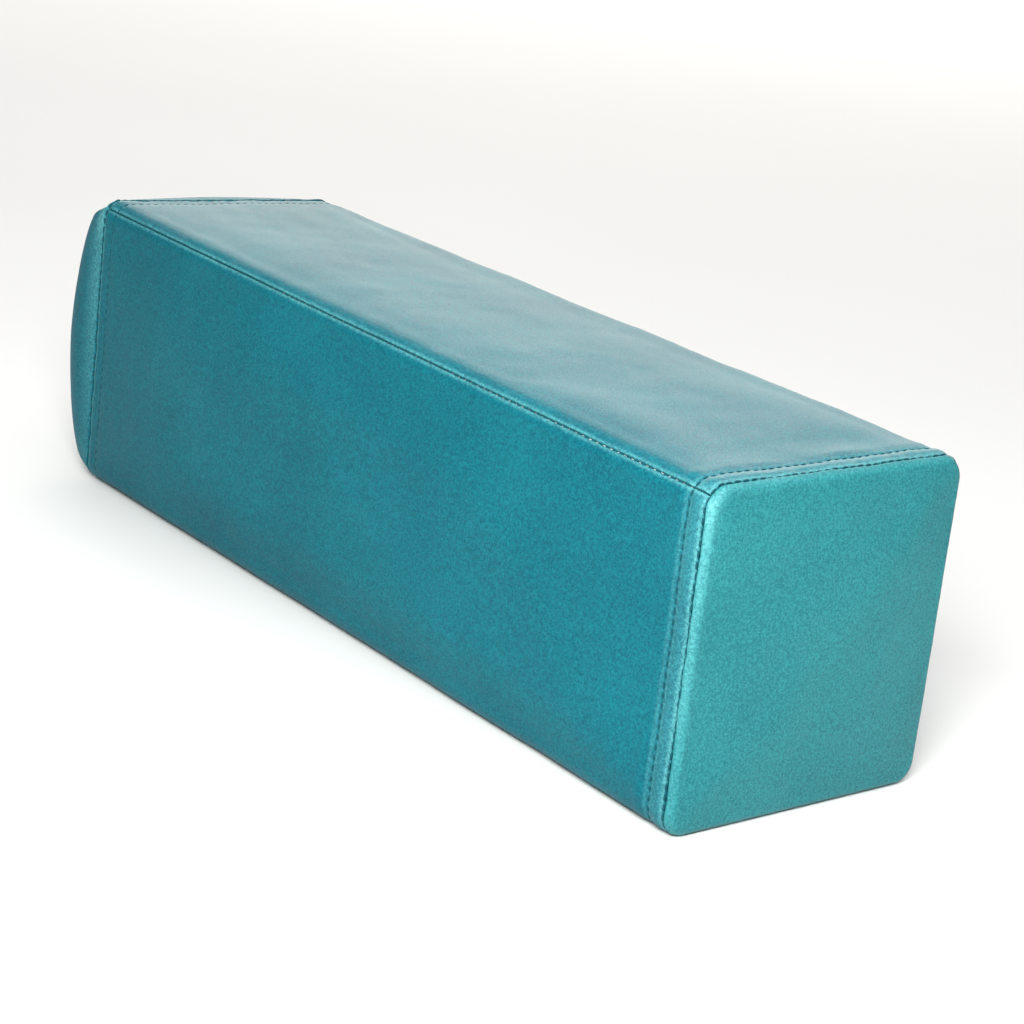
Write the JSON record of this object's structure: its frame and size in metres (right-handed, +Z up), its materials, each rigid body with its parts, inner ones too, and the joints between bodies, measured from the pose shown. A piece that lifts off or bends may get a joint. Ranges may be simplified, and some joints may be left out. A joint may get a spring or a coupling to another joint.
{
  "type": "bolster pillow",
  "caption": "Square-section bolster pillow in a sewn, zipped PU leather cover over a foam core, with topstitched ends and a puffed far end.",
  "frame": {"origin": "middle of the base that the pillow lies on, at the centre of its bounding box", "axes": "+X along the length, from the puffed end to the flat end; -Y is the front; +Z is up"},
  "size_m": [0.513, 0.1483, 0.15],
  "materials": {
    "cover": "satin",
    "thread": "matte",
    "foam": "matte",
    "wadding": "matte",
    "zip_tape": "matte",
    "zip_nylon": "satin",
    "zip_metal": "satin"
  },
  "bodies": {
    "pillow": {"top_panel": "cover", "front_base_panel": "cover", "back_panel": "cover", "left_end_panel": "cover", "right_end_panel": "cover", "front_top_seam_thread": "thread", "back_top_seam_thread": "thread", "left_end_seam_thread": "thread", "right_end_seam_thread": "thread", "left_end_topstitch_thread": "thread", "right_end_topstitch_thread": "thread", "zip_upper_topstitch_thread": "thread", "zip_lower_topstitch_thread": "thread", "foam_core": "foam", "wadding_wrap": "wadding", "left_end_wadding": "wadding", "right_end_wadding": "wadding", "zip_tape_upper": "zip_tape", "zip_tape_lower": "zip_tape", "zip_coil_upper": "zip_nylon", "zip_coil_lower": "zip_nylon", "zip_top_stop_upper": "zip_metal", "zip_top_stop_lower": "zip_metal", "zip_bottom_stop": "zip_metal"},
    "slider": {"zip_slider": "zip_metal"},
    "pull_tab": {"zip_pull_tab": "zip_metal"}
  },
  "joints": [
    {"name": "zip_slide", "type": "slide", "parent": "pillow", "child": "slider", "axis": [-1, 0, 0], "range_m": [0, 0.429]},
    {"name": "pull_tab_hinge", "type": "hinge", "parent": "slider", "child": "pull_tab", "pos_m": [0.2251, 0.0743, 0.024], "axis": [0, 0, -1], "range_deg": [0, 175]}
  ]
}
